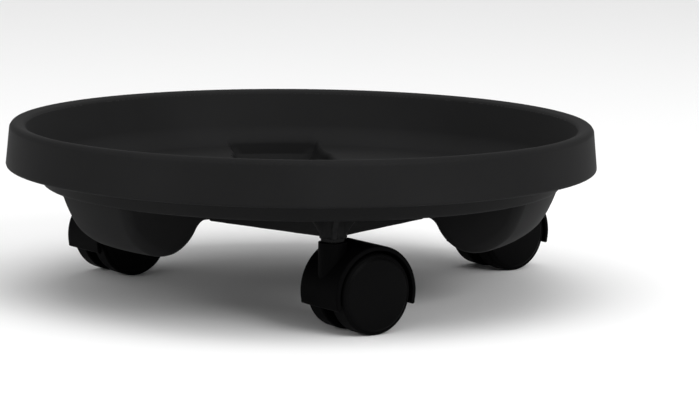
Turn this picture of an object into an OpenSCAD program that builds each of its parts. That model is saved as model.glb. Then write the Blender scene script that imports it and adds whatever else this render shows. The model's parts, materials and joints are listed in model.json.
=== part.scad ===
// Plant pot caddy: a round saucer tray with three water pods, on three hooded twin-wheel swivel casters.
// Millimetres, +Z up. The origin is on the ground, under the tray's axis. One caster is on -Y.

/* [Tray] */
// Outer diameter, at the bottom edge of the band
tray_d = 304.8; // [290:0.1:330]
// Diameter of the base ring, under the band
base_d = 266.7; // [255:0.1:275]
// Height from the ground to the top of the rim
overall_h = 88.9; // [86:0.1:95]
// Height of the band that hangs from the rim
band_h = 22.6; // [18:0.1:24]
// Depth of the tray, from the rim to its floor
tray_depth = 28.9; // [26:0.1:30]
// Thickness of the floor and the walls
wall_t = 3; // [2.5:0.1:3.5]

/* [Water pods] */
// Outer width of a pod and its channel
pod_w = 57; // [50:0.5:60]
// How far a pod hangs under the floor
pod_drop = 27.1; // [20:0.1:27.5]
// How far the channels between the pods hang under the floor
channel_drop = 10; // [7:0.1:11]
// Wall thickness of a pod
pod_t = 2.6; // [2.2:0.1:3]

/* [Caster sockets] */
// Distance of each socket from the tray's axis
socket_reach = 118.7; // [112:0.1:119]
// Outer diameter of a socket
socket_d = 10.6; // [10:0.1:12]
// Thickness of the ribs round a socket
rib_t = 2.4; // [2:0.1:3]
// Angle of the two long webs from the line to the tray's axis
web_angle = 43.4; // [40:0.1:48]

/* [Casters] */
// Diameter of a wheel
wheel_d = 40; // [38:0.5:40.5]
// Overall width of a caster
caster_w = 34.4; // [33:0.1:36]
// Distance from the stem's axis to the axle
trail = 15.5; // [13:0.1:17]
// Direction in which the casters trail
heading = 27.6; // [0:0.1:360]
// Diameter of the stem
stem_d = 6; // [5.5:0.1:6.2]
// Diameter of the axle
axle_d = 5; // [4:0.1:5.5]
// Radial clearance of the pins that turn
running_fit = 0.05; // [0.03:0.01:0.08]

/* [Hidden] */
CASTERS = ["front", "right", "left"];
CASTER_PARTS = ["grip_ring", "stem", "hood", "axle", "wheel_left", "wheel_right", "cap_left", "cap_right"];
$fn = 96;

// Tray section
tray_r = tray_d / 2;
base_r = base_d / 2;
floor_top = overall_h - tray_depth;
floor_low = floor_top - wall_t;
band_low = overall_h - band_h;
wall_lean = 0.41; // outward travel of the wall for each mm of height
band_lean = 0.09;
wall_x = wall_t * sqrt(1 + pow(wall_lean, 2)); // the wall's thickness measured level
skirt_t = 2.7;
rim_under = overall_h - 3.1;
shoulder_r = 2.8;
lip_r = 4;
cove_r = 10;
crown = 0.6; // how far the rim's inner edge lies under its crest

// Pods
pod_half = pod_w / 2;
pod_low = floor_low - pod_drop;
channel_low = floor_low - channel_drop;
pod_bottom_reach = 104; // where a pod is deepest
pod_end_r = 22; // radius of a pod's end towards the tray's axis
pod_draft = 0.1; // inward travel of a pod's side for each mm down
pod_corner = 10;
channel_corner = 5;
cut_top = floor_top + 14;

// Sockets
socket_low = floor_low - 11.7;
web_low = floor_low - channel_drop;
gusset_top = 12;
gusset_low = 5;
bore_r = stem_d / 2 + running_fit;
bore_top = floor_top - 1.6;
grip_low = floor_low - 4.5;
grip_h = 3;
neck_r = stem_d / 2 - 0.6;
web_len = (socket_reach * sin(60) - pod_half + pod_t / 2) / sin(120 - web_angle);

// Casters
wheel_r = wheel_d / 2;
web_half = 4; // half the thickness of the hood's middle web
tread_edge = 15.6;
hub_r = 6;
cap_r = 18.25;
cap_seat = 13.8;
hood_r = 23.8;
hood_t = 2.2;
hood_half = 15.5;
hood_cut = 14.6; // height of the hood's lower lips
hood_mid_r = hood_r - hood_t / 2;
lip_reach = sqrt(pow(hood_mid_r, 2) - pow(wheel_r - hood_cut, 2)); // from the axle to each lip, measured level
neck_d = 14;
neck_top = socket_low - 0.3;
stem_low = 26;
stem_top = bore_top - 0.3;
axle_half = 13.4;

function arc(c, r, a0, a1, n = 8) = [for (i = [0:n]) let (a = a0 + (a1 - a0) * i / n) c + r * [cos(a), sin(a)]];
function bezier(a, b, c, d, n = 10) = [for (i = [0:n]) let (t = i / n, u = 1 - t)
    u * u * u * a + 3 * u * u * t * b + 3 * u * t * t * c + t * t * t * d];

// Radius of the wall's outer and inner faces at height z
function wall_out(z) = base_r + wall_lean * (z - floor_low);
function wall_in(z) = wall_out(z) - wall_x;
function band_out(z) = tray_r - band_lean * (z - band_low);

// Section of the tray: floor, leaning wall, rolled rim and hanging band
function tray_section() = concat(
    [[0, floor_low]],
    arc([base_r - 1.5, floor_low + 1.5], 1.5, -90, -22, 4),
    [[wall_out(rim_under), rim_under], [band_out(rim_under) - skirt_t, rim_under]],
    [[band_out(band_low) - skirt_t, band_low]],
    arc([tray_r - 1, band_low + 1], 1, -90, 0, 4),
    arc([band_out(overall_h) - shoulder_r, overall_h - shoulder_r], shoulder_r, 5, 90, 8),
    arc([wall_in(overall_h - lip_r) + lip_r, overall_h - lip_r - crown], lip_r, 96, 157, 6),
    arc([wall_in(floor_top) - 6.7, floor_top + cove_r], cove_r, -22, -90, 8),
    [[0, floor_top]]
);

// Outer face of a pod as it curves under from the base ring
function pod_face(inset) = bezier(
    [base_r - inset, floor_low], [base_r - 3 - inset, floor_low - 7.4],
    [pod_bottom_reach + 8, pod_low + inset], [pod_bottom_reach, pod_low + inset]
);

// Cross-section of a trough: sides with draft and rounded bottom corners
module trough(half, low, corner, top) {
    foot = half - pod_draft * (floor_low - low - corner);
    polygon(concat(
        [[-half, top], [-half, floor_low]],
        arc([-foot + corner, low + corner], corner, 180, 270, 6),
        arc([foot - corner, low + corner], corner, -90, 0, 6),
        [[half, floor_low], [half, top]]
    ));
}

// A trough run outwards along +X from the tray's axis
module run_trough(half, low, corner, top, reach) {
    rotate([90, 0, 90]) linear_extrude(reach) trough(half, low, corner, top);
}

// One pod along +X: inset 0 is its outside, inset pod_t its cavity
module pod(inset, top) {
    intersection() {
        run_trough(pod_half - inset, pod_low + inset, pod_corner - inset, top, tray_r);
        rotate_extrude() polygon(concat(
            [[0, top], [base_r - (inset > 0 ? wall_x : 0), top]],
            pod_face(inset > 0 ? wall_x : 0),
            [[0, pod_low + inset]]
        ));
        translate([0, pod_w, 0]) rotate([90, 0, 0]) linear_extrude(2 * pod_w)
            polygon(concat(
                [[tray_r, top], [pod_bottom_reach - pod_end_r + inset, top]],
                arc([pod_bottom_reach, pod_low + pod_end_r], pod_end_r - inset, 180, 270, 10),
                [[tray_r, pod_low + inset]]
            ));
    }
}

// A rib's outline from the socket outwards, deep at the top and short at the bottom
module gusset() {
    rotate([90, 0, 0]) translate([0, 0, -rib_t / 2]) linear_extrude(rib_t)
        polygon([[0, web_low], [gusset_low, web_low], [gusset_top, floor_low + 0.5], [0, floor_low + 0.5]]);
}

// A socket on +X with its three gussets and two long webs
module socket() {
    translate([socket_reach, 0, 0]) {
        translate([0, 0, socket_low]) cylinder(d = socket_d, h = floor_top - 1 - socket_low);
        for (a = [-70, 0, 70]) rotate(a) gusset();
        for (side = [-1, 1]) rotate(180 + side * web_angle)
            translate([0, -rib_t / 2, web_low]) cube([web_len, rib_t, floor_low + 0.5 - web_low]);
    }
}

module tray() color("#2b2b2d") difference() {
    union() {
        rotate_extrude() polygon(tray_section());
        for (i = [0:2]) rotate(-30 + 120 * i) {
            pod(0, floor_low + 1);
            run_trough(pod_half, channel_low, channel_corner, floor_low + 1, pod_bottom_reach);
        }
        for (i = [0:2]) rotate(-90 + 120 * i) socket();
    }
    for (i = [0:2]) rotate(-30 + 120 * i) {
        pod(pod_t, cut_top);
        run_trough(pod_half - pod_t, channel_low + pod_t, channel_corner - pod_t, cut_top, pod_bottom_reach);
    }
    for (i = [0:2]) rotate(-90 + 120 * i) translate([socket_reach, 0, socket_low - 1])
        cylinder(r = bore_r, h = bore_top - socket_low + 1);
}

// Split spring ring that sits in the stem's groove and grips the socket
module grip_ring() color("silver") translate([0, 0, grip_low + 0.3]) difference() {
    cylinder(r = bore_r + 0.06, h = grip_h - 0.6);
    translate([0, 0, -1]) cylinder(r = neck_r + 0.08, h = grip_h + 2);
    translate([0, -0.6, -1]) cube([stem_d, 1.2, grip_h + 2]);
}

module stem() color("silver") {
    r = stem_d / 2;
    rotate_extrude() polygon([
        [0, stem_low], [r - 0.6, stem_low], [r, stem_low + 0.6],
        [r, grip_low], [neck_r, grip_low], [neck_r, grip_low + grip_h], [r, grip_low + grip_h],
        [r, stem_top - 1], [r - 1, stem_top], [0, stem_top]
    ]);
}

// Hood section: radius from the axle, and distance along it. The wheels run on both sides of the web.
function hood_section() = concat(
    [[axle_d / 2, -web_half], [hood_r - hood_t, -web_half], [hood_r - hood_t, -hood_half]],
    arc([hood_r - 0.9, -hood_half + 0.9], 0.9, -90, 0, 4),
    arc([hood_r - 0.9, hood_half - 0.9], 0.9, 0, 90, 4),
    [[hood_r - hood_t, hood_half], [hood_r - hood_t, web_half], [axle_d / 2, web_half]]
);

// Puts a shape that was drawn round Z on the axle, with its +Z along +Y
module on_axle() translate([trail, 0, wheel_r]) rotate([-90, 0, 0]) children();

module hood() color("#111112") difference() {
    union() {
        intersection() {
            on_axle() rotate_extrude() polygon(hood_section());
            translate([-wheel_d, -wheel_d, hood_cut]) cube(2 * wheel_d);
        }
        on_axle() translate([0, 0, -web_half]) difference() {
            cylinder(r = 8, h = 2 * web_half);
            translate([0, 0, -1]) cylinder(d = axle_d, h = 2 * web_half + 2);
        }
        for (side = [-1, 1]) translate([trail + side * lip_reach, hood_half - 0.4, hood_cut])
            rotate([90, 0, 0]) cylinder(d = hood_t, h = 2 * hood_half - 0.8);
        intersection() {
            translate([0, 0, wheel_r]) cylinder(r = neck_d / 2, h = neck_top - wheel_r);
            on_axle() translate([0, 0, -hood_half]) difference() {
                cylinder(r = 2 * wheel_d, h = 2 * hood_half);
                cylinder(r = hood_mid_r, h = 2 * hood_half);
            }
        }
    }
    translate([0, 0, stem_low]) cylinder(d = stem_d, h = overall_h);
}

module axle() color("silver") on_axle() rotate_extrude() polygon([
    [0, -axle_half], [axle_d / 2 - 0.5, -axle_half], [axle_d / 2, -axle_half + 0.5],
    [axle_d / 2, axle_half - 0.5], [axle_d / 2 - 0.5, axle_half], [0, axle_half]
]);

// Half-section of a wheel: hub, middle disc, and tread with rounded edges
function wheel_section() = concat(
    [[axle_d / 2 + running_fit, web_half + 0.4], [hub_r, web_half + 0.4], [hub_r, 9.5], [16.8, 9.5]],
    [[16.8, web_half + 0.8], [wheel_r - 1, web_half + 0.8]],
    arc([wheel_r - 1, web_half + 1.8], 1, -90, 0, 4),
    arc([wheel_r - 1.6, tread_edge - 1.6], 1.6, 0, 90, 6),
    [[cap_r + 0.05, tread_edge], [cap_r + 0.05, cap_seat], [16.8, cap_seat], [16.8, 11.5]],
    [[hub_r, 11.5], [hub_r, 13.2], [axle_d / 2 + running_fit, 13.2]]
);

module wheel(side) color("#0c0c0d") on_axle() mirror([0, 0, side]) rotate_extrude() polygon(wheel_section());

// Half-section of a cap: domed disc with a spigot that presses on the wheel's hub
function cap_section() = concat(
    [[0, cap_seat], [hub_r + 0.02, cap_seat], [hub_r + 0.02, 11.7], [hub_r + 1.6, 11.7], [hub_r + 1.6, cap_seat]],
    [[cap_r, cap_seat], [cap_r, tread_edge - 0.1], [cap_r - 1.2, tread_edge + 0.7]],
    [for (i = [6:-1:0]) let (r = (cap_r - 1.8) * i / 6)
        [r, caster_w / 2 - 0.8 * pow(r / (cap_r - 1.8), 2)]]
);

module cap(side) color("#101011") on_axle() mirror([0, 0, side]) rotate_extrude() polygon(cap_section());

module at_caster(i) rotate(-90 + 120 * i) translate([socket_reach, 0, 0]) rotate(90 - 120 * i + heading) children();

tray();
for (i = [0:2]) at_caster(i) {
    grip_ring();
    stem();
    hood();
    axle();
    wheel(0);
    wheel(1);
    cap(0);
    cap(1);
}
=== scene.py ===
import json
from math import cos, radians, sin, sqrt

import bpy
import numpy as np
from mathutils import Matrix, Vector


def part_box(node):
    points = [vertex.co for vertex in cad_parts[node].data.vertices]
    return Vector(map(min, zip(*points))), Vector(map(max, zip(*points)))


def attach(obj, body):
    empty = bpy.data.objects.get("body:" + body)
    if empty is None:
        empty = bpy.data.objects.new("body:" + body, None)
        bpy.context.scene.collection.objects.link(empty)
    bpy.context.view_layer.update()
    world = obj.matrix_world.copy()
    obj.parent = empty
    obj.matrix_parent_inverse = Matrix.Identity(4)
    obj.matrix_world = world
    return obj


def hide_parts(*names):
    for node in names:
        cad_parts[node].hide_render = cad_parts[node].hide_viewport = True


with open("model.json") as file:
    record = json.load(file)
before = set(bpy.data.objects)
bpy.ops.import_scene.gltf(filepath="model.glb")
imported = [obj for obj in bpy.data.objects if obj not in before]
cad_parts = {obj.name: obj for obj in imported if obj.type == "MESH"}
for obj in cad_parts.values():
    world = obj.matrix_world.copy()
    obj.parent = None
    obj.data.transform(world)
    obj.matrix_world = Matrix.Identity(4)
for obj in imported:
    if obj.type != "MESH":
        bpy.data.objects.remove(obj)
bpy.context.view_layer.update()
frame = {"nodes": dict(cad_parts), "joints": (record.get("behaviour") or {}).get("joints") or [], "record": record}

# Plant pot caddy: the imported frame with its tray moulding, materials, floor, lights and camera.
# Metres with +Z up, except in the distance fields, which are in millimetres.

import openvdb
from mathutils import Matrix, Vector

MM = 0.001

# ---------------------------------------------------------------- camera, floor and lights

CAMERA_BEARING = radians(-7.4)  # the photograph's view, turned about the tray's axis
CAMERA_DISTANCE = 1.610
CAMERA_HEIGHT = 0.2883
CAMERA_YAW = radians(0.89)
CAMERA_PITCH = radians(8.59)
CAMERA_ROLL = radians(0.69)
FOCAL_MM = 161.6


def turned(angle, point):
    return Matrix.Rotation(angle, 3, "Z") @ Vector(point)


def make_camera():
    camera = bpy.data.objects.new("camera", bpy.data.cameras.new("camera"))
    bpy.context.scene.collection.objects.link(camera)
    camera.data.lens = FOCAL_MM
    camera.data.sensor_width = 36
    camera.data.clip_end = 50
    camera.location = turned(CAMERA_BEARING, (0, -CAMERA_DISTANCE, CAMERA_HEIGHT))
    turn = Matrix.Rotation(CAMERA_BEARING - CAMERA_YAW, 3, "Z")
    tilt = Matrix.Rotation(radians(90) - CAMERA_PITCH, 3, "X")
    roll = Matrix.Rotation(CAMERA_ROLL, 3, "Z")
    camera.rotation_euler = (turn @ tilt @ roll).to_euler()
    bpy.context.scene.camera = camera


def make_floor():
    """A pale seamless floor under the casters."""
    half = 12
    mesh = bpy.data.meshes.new("floor")
    corners = [(-half, -half, 0), (half, -half, 0), (half, half, 0), (-half, half, 0)]
    mesh.from_pydata(corners, [], [(0, 1, 2, 3)])
    floor = bpy.data.objects.new("floor", mesh)
    bpy.context.scene.collection.objects.link(floor)
    paint = bpy.data.materials.new("floor_paint")
    paint.use_nodes = True
    shader = paint.node_tree.nodes["Principled BSDF"]
    shader.inputs["Base Color"].default_value = (0.88, 0.88, 0.88, 1)
    shader.inputs["Roughness"].default_value = 0.9
    shader.inputs["Specular IOR Level"].default_value = 0.1
    mesh.materials.append(paint)


def make_light(name, place, aim, size, power):
    lamp = bpy.data.lights.new(name, "AREA")
    lamp.shape = "RECTANGLE"
    lamp.size, lamp.size_y = size
    lamp.energy = power
    light = bpy.data.objects.new(name, lamp)
    bpy.context.scene.collection.objects.link(light)
    light.location = turned(CAMERA_BEARING, place)
    towards = turned(CAMERA_BEARING, aim) - light.location
    light.rotation_euler = towards.to_track_quat("-Z", "Y").to_euler()


def make_sky():
    """A soft white room, dimmer near the horizon."""
    world = bpy.data.worlds.new("studio")
    world.use_nodes = True
    nodes, links = world.node_tree.nodes, world.node_tree.links
    direction = nodes.new("ShaderNodeTexCoord")
    split = nodes.new("ShaderNodeSeparateXYZ")
    links.new(direction.outputs["Generated"], split.inputs["Vector"])
    climb = nodes.new("ShaderNodeMapRange")
    climb.inputs["From Min"].default_value = 0.05
    climb.inputs["From Max"].default_value = 0.5
    climb.inputs["To Min"].default_value = 0.3
    climb.inputs["To Max"].default_value = 0.78
    links.new(split.outputs["Z"], climb.inputs["Value"])
    links.new(climb.outputs["Result"], nodes["Background"].inputs["Strength"])
    nodes["Background"].inputs["Color"].default_value = (1, 1, 1, 1)
    bpy.context.scene.world = world


def make_lights():
    bpy.context.scene.view_settings.view_transform = "Standard"
    make_light("key", (1.4, -1.7, 1.2), (0, 0, 0.05), (1.2, 0.9), 24)
    make_light("fill", (-1.9, -1.0, 1.0), (0, 0, 0.05), (1.2, 0.9), 5)
    make_light("top", (0.1, -0.7, 2.3), (0, 0, 0.08), (2.6, 2.0), 30)


# ---------------------------------------------------------------- distance fields, in millimetres

TRAY_LOW, TRAY_HIGH = (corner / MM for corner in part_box("tray"))
SEAT = next(m for m in frame["record"]["mounts"] if m["name"] == "pot_seat")
SWIVEL = Vector(next(j for j in frame["joints"] if j["name"] == "front_swivel")["pos_m"]) / MM

TRAY_R = TRAY_HIGH.x
TRAY_TOP = TRAY_HIGH.z
FLOOR_TOP = SEAT["pos_m"][2] / MM
SOCKET_REACH = SWIVEL.xy.length
WALL = 3.0
FLOOR_LOW = FLOOR_TOP - WALL
BASE_R = 133.35
LEAN = 0.41  # outward travel of the wall for each mm of height
WALL_SLANT = sqrt(1 + LEAN * LEAN)
COVE_R = 10
RIM_UNDER = TRAY_TOP - 3.1
BAND_LOW = TRAY_TOP - 22.6
CHANNEL_LOW = FLOOR_LOW - 10
POD_HALF = 28.5
POD_REACH = 104  # where a pod's outer face ends at its bottom
POD_FULLNESS = 1.65  # 1 would be a straight slope, 2 a quarter ellipse
POD_LOW = FLOOR_LOW - 27.1
POD_END_R = 22
POD_WALL = 2.6
POD_BANK = 8  # how far a pod's inner sides lean in
RESERVOIR_R = 129.5  # outer limit of the pods' openings
POD_DRAFT = 0.1
POD_START = 90  # distance from the axis where the channel has ended and the pod begins
POD_BANK_DEPTH = 14
OPENING_R = 3  # rounding of the floor's edges around the channels and pods
ARM_EDGE_R = 5
HUB_R = 75  # the three arms run together only inside this radius
SOCKET_LOW = FLOOR_LOW - 11.7
SOCKET_R = 5.3
BORE_R = 3.05
BORE_TOP = FLOOR_TOP - 1.6
RIB_HALF = 1.2
WEB_ANGLE = 43.4
VOXEL = 0.85


def length(*parts):
    return np.sqrt(sum(part * part for part in parts))


def join(a, b, r):
    """Union of two fields with a fillet of radius r."""
    return np.maximum(r, np.minimum(a, b)) - length(np.maximum(r - a, 0), np.maximum(r - b, 0))


def meet(a, b, r):
    """Intersection of two fields with its edge rounded to radius r."""
    return np.minimum(-r, np.maximum(a, b)) + length(np.maximum(r + a, 0), np.maximum(r + b, 0))


def ease(t):
    t = np.clip(t, 0, 1)
    return t * t * (3 - 2 * t)


def capsule(x, z, start, end, start_r, end_r):
    """Two discs in a plane and all that lies between them."""
    ax, az = start
    bx, bz = end[0] - ax, end[1] - az
    px, pz = x - ax, z - az
    span = bx * bx + bz * bz
    slope = start_r - end_r
    flat = span - slope * slope
    along = px * bx + pz * bz
    past = along - span
    across = (px * span - bx * along) ** 2 + (pz * span - bz * along) ** 2
    bend = np.sign(slope) * slope * slope * across
    near_end = np.sqrt(across + past * past * span) / span - end_r
    near_start = np.sqrt(across + along * along * span) / span - start_r
    side = (np.sqrt(across * flat / span) + along * slope) / span - start_r
    field = np.where(np.sign(along) * flat * along * along * span < bend, near_start, side)
    return np.where(np.sign(past) * flat * past * past * span > bend, near_end, field)


def bowl_outside(rho, z):
    """Floor and leaning wall, rolled rim and hanging band, before the bowl is hollowed."""
    cone = (rho - BASE_R - LEAN * (z - FLOOR_LOW)) / WALL_SLANT
    wall = np.maximum(meet(cone, FLOOR_LOW - z, 1.5), z - RIM_UNDER - 1)
    lip_r, shoulder_r, band_r = 4, 2.8, 1.35
    lip_z = TRAY_TOP - 0.6 - lip_r
    lip = (BASE_R + LEAN * (lip_z - FLOOR_LOW) - (WALL - lip_r) * WALL_SLANT, lip_z)
    shoulder = (TRAY_R - 2.03 - shoulder_r, TRAY_TOP - shoulder_r)
    rim = np.maximum(capsule(rho, z, lip, shoulder, lip_r, shoulder_r), RIM_UNDER - z)
    band_top = (shoulder[0] + shoulder_r - band_r + 0.25, shoulder[1])
    band_foot = (TRAY_R - band_r, BAND_LOW + band_r)
    band = capsule(rho, z, band_top, band_foot, band_r, band_r)
    return wall, np.minimum(rim, band)


def bowl_hollow(rho, z):
    cone = (rho - BASE_R - LEAN * (z - FLOOR_LOW)) / WALL_SLANT
    return meet(cone + WALL, FLOOR_TOP - z, COVE_R)


def flank(across, z):
    return across - POD_HALF + POD_DRAFT * (FLOOR_LOW - z)


def trough(rho, along, across, z):
    """The outside of one arm of the reservoir: a shallow channel that ends in a deep pod under the wall."""
    p = POD_FULLNESS
    cone = (rho - BASE_R - LEAN * (z - FLOOR_LOW)) / WALL_SLANT
    reach = BASE_R + LEAN * WALL - POD_REACH
    depth = FLOOR_TOP - POD_LOW
    out = np.maximum(rho - POD_REACH, 0.001) / reach
    down = np.maximum(FLOOR_TOP - z, 0.001) / depth
    size = (out**p + down**p) ** (1 / p)
    steep = length(out ** (p - 1) / reach, down ** (p - 1) / depth) / size ** (p - 1)
    face = meet((size - 1) / steep, cone, 3)
    end = meet(POD_REACH - POD_END_R - along, POD_LOW - z, POD_END_R)
    pod = meet(face, end, 2)
    channel = np.maximum(CHANNEL_LOW - z, along - POD_REACH)
    section = join(pod, channel, 4)
    return meet(section, flank(across, z), ARM_EDGE_R)


def socket(u, v, z):
    """A caster's socket: u runs outwards from its axis, v to the side."""
    collar = 0.45 * ease((SOCKET_LOW + 2.4 - z) / 0.5)
    boss = meet(length(u, v) - SOCKET_R - collar, SOCKET_LOW - z, 0.5)
    ribs = boss
    for angle, foot, slope, reach in ((0, 5, 0.7, 12), (70, 5, 0.7, 12), (180 - WEB_ANGLE, 78, 0, 78)):
        along = u * cos(radians(angle)) + v * sin(radians(angle))
        across = np.abs(v * cos(radians(angle)) - u * sin(radians(angle)))
        thick = RIB_HALF + 0.03 * (z - CHANNEL_LOW)
        rib = meet(across - thick, CHANNEL_LOW - z, 0.6)
        rib = np.maximum(rib, np.minimum(along - foot - slope * (z - CHANNEL_LOW), along - reach + 5))
        rib = np.maximum(rib, -along)
        ribs = join(ribs, rib, 0.9)
    return ribs


def tray_field(x, y, z):
    """The whole tray. It repeats every 120 degrees and mirrors, so points are folded into a sixth."""
    rho = length(x, y)
    bearing = np.degrees(np.arctan2(y, x)) + 30
    fold = np.radians(np.abs((bearing + 60) % 120 - 60))
    along, across = rho * np.cos(fold), rho * np.sin(fold)
    over = np.radians(120) - fold
    sides = join(flank(across, z), flank(rho * np.sin(over), z), ARM_EDGE_R)
    hub = meet(CHANNEL_LOW - z, sides, ARM_EDGE_R)
    arms = np.where(rho < HUB_R, hub, trough(rho, along, across, z))
    u = along * 0.5 + across * sin(radians(60)) - SOCKET_REACH
    v = along * sin(radians(60)) - across * 0.5
    fillet = 0.2 + 3.5 * ease((131 - rho) / 10)
    under = join(arms, FLOOR_LOW - z, fillet)
    under = join(under, socket(u, v, z), 0.9 * ease((129 - rho) / 3) + 0.1)
    under = np.maximum(under, np.maximum(z - FLOOR_TOP + 1, rho - 132))
    arms_up = np.maximum(arms, z - FLOOR_TOP + 1)
    wall, rim = bowl_outside(rho, z)
    outside = np.minimum(np.minimum(wall, under), arms_up)
    reservoir = np.maximum(arms + POD_WALL, rho - RESERVOIR_R)
    in_pod = ease((rho - POD_START) / 15)
    lean = POD_BANK * in_pod * ease((FLOOR_TOP - z) / POD_BANK_DEPTH)
    bank = across - POD_HALF + POD_WALL + lean
    reservoir = np.where(rho > POD_START, meet(reservoir, bank, 7 * in_pod), reservoir)
    inside = join(bowl_hollow(rho, z), reservoir, OPENING_R)
    solid = np.minimum(np.maximum(outside, -inside), rim)
    bore = np.maximum(length(u, v) - BORE_R, z - BORE_TOP)
    return np.maximum(solid, -bore)


def settle(points, field, passes=3):
    """Moves each point onto the field's surface. Returns the points and their outward directions."""
    step = 0.02
    for _ in range(passes):
        here = field(*points.T)
        ahead = [field(*(points + step * axis).T) for axis in np.eye(3)]
        behind = [field(*(points - step * axis).T) for axis in np.eye(3)]
        slope = np.stack([(a - b) / (2 * step) for a, b in zip(ahead, behind)], axis=1)
        steepness = np.maximum((slope * slope).sum(1), 0.25)
        points = points - np.clip(here / steepness, -0.3, 0.3)[:, None] * slope
    return points, slope / np.linalg.norm(slope, axis=1)[:, None]


def surface(name, field, low, high, voxel, keep):
    """A mesh of the field's surface, thinned to the given share of its faces."""
    axes = [np.arange(low[i] - 2 * voxel, high[i] + 2 * voxel, voxel, dtype=np.float32) for i in range(3)]
    grid = openvdb.FloatGrid(3 * voxel)
    x, y = np.meshgrid(axes[0], axes[1], indexing="ij")
    values = np.empty([len(axis) for axis in axes], np.float32)
    for k, z in enumerate(axes[2]):
        values[:, :, k] = field(x, y, np.full_like(x, z))
    grid.copyFromArray(np.clip(values, -3 * voxel, 3 * voxel).astype(float), tolerance=1e-4)
    points, quads = grid.convertToQuads(isovalue=0)
    points = points * voxel + np.array([axis[0] for axis in axes])
    points, _ = settle(points, field)
    mesh = bpy.data.meshes.new(name)
    mesh.from_pydata(points * MM, [], quads.tolist())
    thing = bpy.data.objects.new(name, mesh)
    bpy.context.scene.collection.objects.link(thing)
    thin = thing.modifiers.new("thin", "DECIMATE")
    thin.ratio = keep
    thinned = thing.evaluated_get(bpy.context.evaluated_depsgraph_get())
    solved = bpy.data.meshes.new_from_object(thinned)
    thing.modifiers.clear()
    thing.data = solved
    mesh = thing.data
    flat = np.empty(len(mesh.vertices) * 3)
    mesh.vertices.foreach_get("co", flat)
    points, outward = settle(flat.reshape(-1, 3) / MM, field)
    mesh.vertices.foreach_set("co", (points * MM).ravel())
    mesh.shade_smooth()
    mesh.normals_split_custom_set_from_vertices(outward)
    mesh.update()
    return thing


# ---------------------------------------------------------------- materials

def moulded(name, colour, roughness, shine, grain, depth):
    """Moulded plastic: fine spark-eroded grain, slow drift in tone and gloss, and a painted highlight that
    lightens convex edges.
    """
    paint = bpy.data.materials.new(name)
    paint.use_nodes = True
    nodes, links = paint.node_tree.nodes, paint.node_tree.links
    shader = nodes["Principled BSDF"]
    shader.inputs["Specular IOR Level"].default_value = shine
    place = nodes.new("ShaderNodeTexCoord")

    drift = nodes.new("ShaderNodeTexNoise")
    drift.inputs["Scale"].default_value = 14
    drift.inputs["Detail"].default_value = 5
    links.new(place.outputs["Object"], drift.inputs["Vector"])
    tone = nodes.new("ShaderNodeValToRGB")
    tone.color_ramp.elements[0].position = 0.3
    tone.color_ramp.elements[1].position = 0.72
    tone.color_ramp.elements[0].color = (*[c * 0.86 for c in colour], 1)
    tone.color_ramp.elements[1].color = (*[c * 1.12 for c in colour], 1)
    links.new(drift.outputs["Fac"], tone.inputs["Fac"])

    # Painted highlight: convex edges, found by pointiness, are mixed towards a lighter colour
    edges = nodes.new("ShaderNodeNewGeometry")
    edge_highlight_amount = nodes.new("ShaderNodeMapRange")
    edge_highlight_amount.inputs["From Min"].default_value = 0.53
    edge_highlight_amount.inputs["From Max"].default_value = 0.62
    edge_highlight_amount.inputs["To Max"].default_value = 0.5
    links.new(edges.outputs["Pointiness"], edge_highlight_amount.inputs["Value"])
    painted_edge_highlight = nodes.new("ShaderNodeMix")
    painted_edge_highlight.data_type = "RGBA"
    painted_edge_highlight.inputs["B"].default_value = (*[c * 1.5 for c in colour], 1)
    links.new(edge_highlight_amount.outputs["Result"], painted_edge_highlight.inputs["Factor"])
    links.new(tone.outputs["Color"], painted_edge_highlight.inputs["A"])
    links.new(painted_edge_highlight.outputs["Result"], shader.inputs["Base Color"])

    gloss = nodes.new("ShaderNodeMapRange")
    gloss.inputs["To Min"].default_value = roughness - 0.06
    gloss.inputs["To Max"].default_value = roughness + 0.06
    links.new(drift.outputs["Fac"], gloss.inputs["Value"])
    links.new(gloss.outputs["Result"], shader.inputs["Roughness"])

    pits = nodes.new("ShaderNodeTexNoise")
    pits.inputs["Scale"].default_value = 1 / (grain * MM)
    pits.inputs["Detail"].default_value = 3
    links.new(place.outputs["Object"], pits.inputs["Vector"])
    bump = nodes.new("ShaderNodeBump")
    bump.inputs["Strength"].default_value = 0.35
    bump.inputs["Distance"].default_value = depth * MM
    links.new(pits.outputs["Fac"], bump.inputs["Height"])
    links.new(bump.outputs["Normal"], shader.inputs["Normal"])
    return paint


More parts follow.
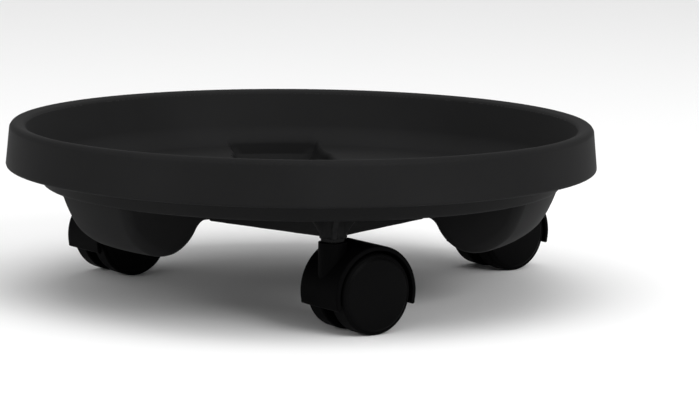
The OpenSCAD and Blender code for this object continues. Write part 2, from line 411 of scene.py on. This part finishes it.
def plated_steel():
    """Zinc-plated steel with fine turning lines and a little mottling."""
    paint = bpy.data.materials.new("zinc_steel")
    paint.use_nodes = True
    nodes, links = paint.node_tree.nodes, paint.node_tree.links
    shader = nodes["Principled BSDF"]
    shader.inputs["Metallic"].default_value = 1
    place = nodes.new("ShaderNodeTexCoord")
    mottle = nodes.new("ShaderNodeTexNoise")
    mottle.inputs["Scale"].default_value = 320
    mottle.inputs["Detail"].default_value = 4
    links.new(place.outputs["Object"], mottle.inputs["Vector"])
    tone = nodes.new("ShaderNodeValToRGB")
    tone.color_ramp.elements[0].color = (0.42, 0.42, 0.41, 1)
    tone.color_ramp.elements[1].color = (0.68, 0.67, 0.64, 1)
    links.new(mottle.outputs["Fac"], tone.inputs["Fac"])
    links.new(tone.outputs["Color"], shader.inputs["Base Color"])
    gloss = nodes.new("ShaderNodeMapRange")
    gloss.inputs["To Min"].default_value = 0.22
    gloss.inputs["To Max"].default_value = 0.42
    links.new(mottle.outputs["Fac"], gloss.inputs["Value"])
    links.new(gloss.outputs["Result"], shader.inputs["Roughness"])
    lines = nodes.new("ShaderNodeTexNoise")
    lines.inputs["Scale"].default_value = 2600
    links.new(place.outputs["Object"], lines.inputs["Vector"])
    bump = nodes.new("ShaderNodeBump")
    bump.inputs["Strength"].default_value = 0.2
    bump.inputs["Distance"].default_value = 0.02 * MM
    links.new(lines.outputs["Fac"], bump.inputs["Height"])
    links.new(bump.outputs["Normal"], shader.inputs["Normal"])
    return paint


def dress(thing, paint):
    thing.data.materials.clear()
    thing.data.materials.append(paint)


PAINTS = {
    "tray_plastic": moulded("tray_plastic", (0.0108, 0.0108, 0.011), 0.56, 0.038, 0.9, 0.05),
    "hood_plastic": moulded("hood_plastic", (0.0013, 0.0013, 0.0014), 0.5, 0.016, 0.6, 0.03),
    "wheel_plastic": moulded("wheel_plastic", (0.0016, 0.0016, 0.0017), 0.55, 0.02, 0.5, 0.03),
    "cap_plastic": moulded("cap_plastic", (0.0018, 0.0018, 0.0019), 0.42, 0.028, 0.5, 0.02),
    "zinc_steel": plated_steel(),
}


def make_tray():
    tray = surface("tray_moulding", tray_field, TRAY_LOW, TRAY_HIGH, VOXEL, 0.3)
    dress(tray, PAINTS["tray_plastic"])
    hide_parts("tray")
    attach(tray, "tray")


def dress_frame():
    for part in frame["record"]["subparts"]:
        dress(frame["nodes"][part["node"]], PAINTS[part["material_slot"]])


make_camera()
make_floor()
make_sky()
make_lights()
dress_frame()
make_tray()
